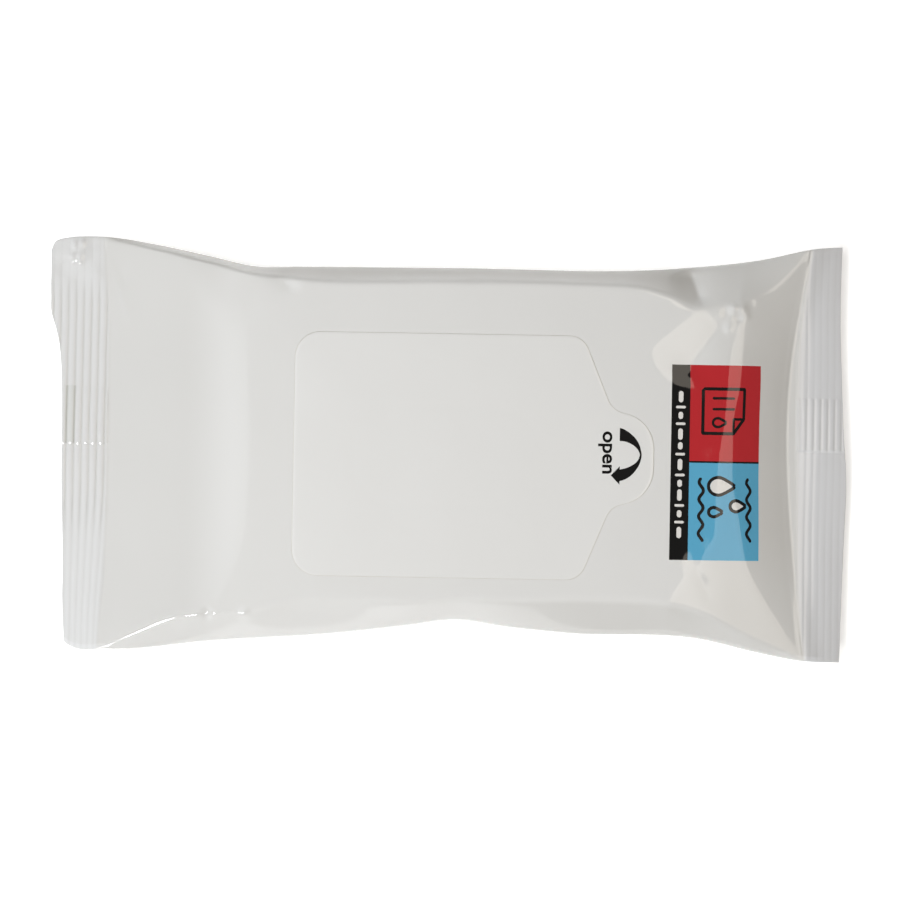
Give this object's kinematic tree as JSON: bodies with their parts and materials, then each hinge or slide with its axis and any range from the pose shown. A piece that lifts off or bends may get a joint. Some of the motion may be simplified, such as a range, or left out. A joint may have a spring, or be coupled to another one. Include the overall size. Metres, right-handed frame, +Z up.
{
  "type": "wet wipes pack",
  "caption": "Sealed travel pack of wet wipes: a white film flow pack, crimped at both ends, with a peel-back reseal label on its face.",
  "frame": {"origin": "middle of the pack's length and width, on the surface that it lies on", "axes": "+X along the pack's length, towards the end with the colour block; +Y across it, to the side that the fin seal is folded to; +Z up out of the face with the label"},
  "size_m": [0.1554, 0.0808, 0.0142],
  "materials": {
    "pouch_film": "glossy white printed polyester and polyethylene laminate film",
    "label_film": "satin white self-adhesive polypropylene label"
  },
  "bodies": {
    "root": {"film_pouch": "pouch_film", "reseal_label": "label_film"}
  },
  "joints": []
}
